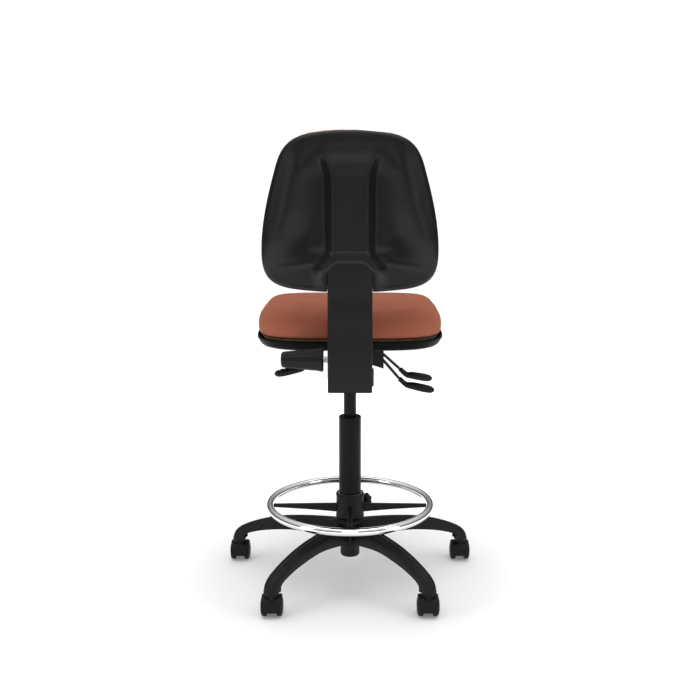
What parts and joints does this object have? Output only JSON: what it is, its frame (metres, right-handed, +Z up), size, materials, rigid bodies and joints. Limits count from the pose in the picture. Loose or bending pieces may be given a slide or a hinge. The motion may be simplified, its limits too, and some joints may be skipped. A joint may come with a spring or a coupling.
{
  "type": "drafting chair",
  "caption": "Swivel drafting chair on a castor base with a gas lift, clamped foot ring, tilt mechanism with levers, upholstered seat and height-adjustable back on a steel bar.",
  "frame": {"origin": "on the floor under the lift axis, which is the middle of the footprint to within a few millimetres", "axes": "+Z up along the lift axis; +Y the way the sitter faces; +X to the sitter's right"},
  "size_m": [0.6532, 0.6624, 1.1289],
  "materials": {
    "black_plastic": "fine moulded grain",
    "shell_plastic": "fine moulded grain, slight sheen",
    "castor_plastic": "smooth nylon",
    "black_steel": "black powder coat",
    "bright_steel": "machined",
    "chrome": "mirror polished",
    "nylon": "plain",
    "plywood": "unfinished",
    "upholstery": "woven, terracotta"
  },
  "bodies": {
    "base": {"base_star": "black_plastic", "column_outer_tube": "black_steel", "column_sleeve": "black_plastic", "column_guide_bush": "nylon", "thrust_bearing": "bright_steel"},
    "castor_1": {"castor_1_hood": "castor_plastic", "castor_1_stem": "bright_steel", "castor_1_axle": "bright_steel"},
    "castor_1_wheel_left": {"castor_1_wheel_left": "castor_plastic"},
    "castor_1_wheel_right": {"castor_1_wheel_right": "castor_plastic"},
    "castor_2": {"castor_2_hood": "castor_plastic", "castor_2_stem": "bright_steel", "castor_2_axle": "bright_steel"},
    "castor_2_wheel_left": {"castor_2_wheel_left": "castor_plastic"},
    "castor_2_wheel_right": {"castor_2_wheel_right": "castor_plastic"},
    "castor_3": {"castor_3_hood": "castor_plastic", "castor_3_stem": "bright_steel", "castor_3_axle": "bright_steel"},
    "castor_3_wheel_left": {"castor_3_wheel_left": "castor_plastic"},
    "castor_3_wheel_right": {"castor_3_wheel_right": "castor_plastic"},
    "castor_4": {"castor_4_hood": "castor_plastic", "castor_4_stem": "bright_steel", "castor_4_axle": "bright_steel"},
    "castor_4_wheel_left": {"castor_4_wheel_left": "castor_plastic"},
    "castor_4_wheel_right": {"castor_4_wheel_right": "castor_plastic"},
    "castor_5": {"castor_5_hood": "castor_plastic", "castor_5_stem": "bright_steel", "castor_5_axle": "bright_steel"},
    "castor_5_wheel_left": {"castor_5_wheel_left": "castor_plastic"},
    "castor_5_wheel_right": {"castor_5_wheel_right": "castor_plastic"},
    "lift_rod": {"piston_rod": "bright_steel"},
    "lift": {"pressure_tube": "black_steel", "mechanism_housing": "black_steel", "lever_block": "black_plastic", "seat_pivot_pin": "bright_steel", "back_pivot_pin": "bright_steel"},
    "valve_pin": {"valve_pin": "bright_steel"},
    "height_lever": {"height_lever_rod": "black_steel", "height_lever_handle": "black_plastic"},
    "back_angle_lever": {"back_angle_lever_rod": "black_steel", "back_angle_lever_handle": "black_plastic"},
    "seat_tilt_lever": {"seat_tilt_lever_rod": "black_steel", "seat_tilt_lever_handle": "black_plastic"},
    "seat": {"seat_plate": "black_steel", "seat_pan": "black_plastic", "seat_board": "plywood", "seat_cushion": "upholstery"},
    "back_bar": {"j_bar": "black_steel", "bar_cover_rear": "black_plastic", "bar_cover_front": "black_plastic"},
    "tension_knob": {"tension_shaft": "bright_steel", "tension_knob": "black_plastic"},
    "backrest": {"back_carriage": "nylon", "back_board": "plywood", "back_outer_shell": "shell_plastic", "back_cushion": "upholstery"},
    "ring_collet": {"foot_ring_collet": "nylon"},
    "foot_ring": {"foot_ring_hub": "black_plastic", "foot_ring": "chrome"},
    "ring_clamp_knob": {"foot_ring_clamp_knob": "black_plastic"}
  },
  "joints": [
    {"name": "castor_1_swivel", "type": "hinge", "parent": "base", "child": "castor_1", "pos_m": [0, 0.315, 0.06], "axis": [0, 0, 1], "continuous": true},
    {"name": "castor_1_wheel_left_spin", "type": "hinge", "parent": "castor_1", "child": "castor_1_wheel_left", "pos_m": [-0.0195, 0.307, 0.02452], "axis": [1, 0, 0], "continuous": true},
    {"name": "castor_1_wheel_right_spin", "type": "hinge", "parent": "castor_1", "child": "castor_1_wheel_right", "pos_m": [0.0195, 0.307, 0.02452], "axis": [1, 0, 0], "continuous": true},
    {"name": "castor_2_swivel", "type": "hinge", "parent": "base", "child": "castor_2", "pos_m": [-0.29958, 0.09734, 0.06], "axis": [0, 0, 1], "continuous": true},
    {"name": "castor_2_wheel_left_spin", "type": "hinge", "parent": "castor_2", "child": "castor_2_wheel_left", "pos_m": [-0.28008, 0.10534, 0.02452], "axis": [1, 0, 0], "continuous": true},
    {"name": "castor_2_wheel_right_spin", "type": "hinge", "parent": "castor_2", "child": "castor_2_wheel_right", "pos_m": [-0.31908, 0.10534, 0.02452], "axis": [1, 0, 0], "continuous": true},
    {"name": "castor_3_swivel", "type": "hinge", "parent": "base", "child": "castor_3", "pos_m": [-0.18515, -0.25484, 0.06], "axis": [0, 0, 1], "continuous": true},
    {"name": "castor_3_wheel_left_spin", "type": "hinge", "parent": "castor_3", "child": "castor_3_wheel_left", "pos_m": [-0.16565, -0.24684, 0.02452], "axis": [1, 0, 0], "continuous": true},
    {"name": "castor_3_wheel_right_spin", "type": "hinge", "parent": "castor_3", "child": "castor_3_wheel_right", "pos_m": [-0.20465, -0.24684, 0.02452], "axis": [1, 0, 0], "continuous": true},
    {"name": "castor_4_swivel", "type": "hinge", "parent": "base", "child": "castor_4", "pos_m": [0.18515, -0.25484, 0.06], "axis": [0, 0, 1], "continuous": true},
    {"name": "castor_4_wheel_left_spin", "type": "hinge", "parent": "castor_4", "child": "castor_4_wheel_left", "pos_m": [0.20465, -0.24684, 0.02452], "axis": [1, 0, 0], "continuous": true},
    {"name": "castor_4_wheel_right_spin", "type": "hinge", "parent": "castor_4", "child": "castor_4_wheel_right", "pos_m": [0.16565, -0.24684, 0.02452], "axis": [1, 0, 0], "continuous": true},
    {"name": "castor_5_swivel", "type": "hinge", "parent": "base", "child": "castor_5", "pos_m": [0.29958, 0.09734, 0.06], "axis": [0, 0, 1], "continuous": true},
    {"name": "castor_5_wheel_left_spin", "type": "hinge", "parent": "castor_5", "child": "castor_5_wheel_left", "pos_m": [0.31908, 0.10534, 0.02452], "axis": [1, 0, 0], "continuous": true},
    {"name": "castor_5_wheel_right_spin", "type": "hinge", "parent": "castor_5", "child": "castor_5_wheel_right", "pos_m": [0.28008, 0.10534, 0.02452], "axis": [1, 0, 0], "continuous": true},
    {"name": "seat_swivel", "type": "hinge", "parent": "base", "child": "lift_rod", "pos_m": [0, 0, 0.06], "axis": [0, 0, 1], "continuous": true},
    {"name": "gas_lift", "type": "slide", "parent": "lift_rod", "child": "lift", "axis": [0, 0, 1], "range_m": [-0.115, 0.1]},
    {"name": "valve_press", "type": "slide", "parent": "lift", "child": "valve_pin", "axis": [0, 0, 1], "range_m": [-0.004, 0]},
    {"name": "height_lever_lift", "type": "hinge", "parent": "lift", "child": "height_lever", "pos_m": [0.05, 0, 0.6084], "axis": [0, -1, 0], "range_deg": [0, 4], "stiffness_Nm_per_rad": 3, "springref_deg": -5.73},
    {"name": "back_angle_lever_lift", "type": "hinge", "parent": "lift", "child": "back_angle_lever", "pos_m": [0.05, -0.065, 0.6084], "axis": [0, -1, 0], "range_deg": [0, 8]},
    {"name": "seat_tilt_lever_lift", "type": "hinge", "parent": "lift", "child": "seat_tilt_lever", "pos_m": [-0.05, -0.03, 0.6084], "axis": [0, 1, 0], "range_deg": [0, 8]},
    {"name": "seat_tilt", "type": "hinge", "parent": "lift", "child": "seat", "pos_m": [0, 0.06, 0.59], "axis": [1, 0, 0], "range_deg": [-3, 2.5]},
    {"name": "back_rake", "type": "hinge", "parent": "lift", "child": "back_bar", "pos_m": [0, -0.072, 0.586], "axis": [1, 0, 0], "range_deg": [-5, 15]},
    {"name": "tension_knob_turn", "type": "hinge", "parent": "back_bar", "child": "tension_knob", "pos_m": [-0.07, -0.262, 0.62], "axis": [1, 0, 0], "range_deg": [-360, 360]},
    {"name": "back_height", "type": "slide", "parent": "back_bar", "child": "backrest", "axis": [0, -0.1045, 0.9945], "range_m": [0, 0.06]},
    {"name": "foot_ring_height", "type": "slide", "parent": "base", "child": "ring_collet", "axis": [0, 0, 1], "range_m": [0, 0.15]},
    {"name": "foot_ring_turn", "type": "hinge", "parent": "ring_collet", "child": "foot_ring", "pos_m": [0, 0, 0.1925], "axis": [0, 0, 1], "continuous": true},
    {"name": "ring_clamp_turn", "type": "hinge", "parent": "foot_ring", "child": "ring_clamp_knob", "pos_m": [0.0354, 0.0354, 0.19], "axis": [0.7071, 0.7071, 0], "range_deg": [0, 720]}
  ],
  "couplings": [
    {"joint": "valve_press", "follows": "height_lever_lift", "m_per_rad": -0.05}
  ]
}
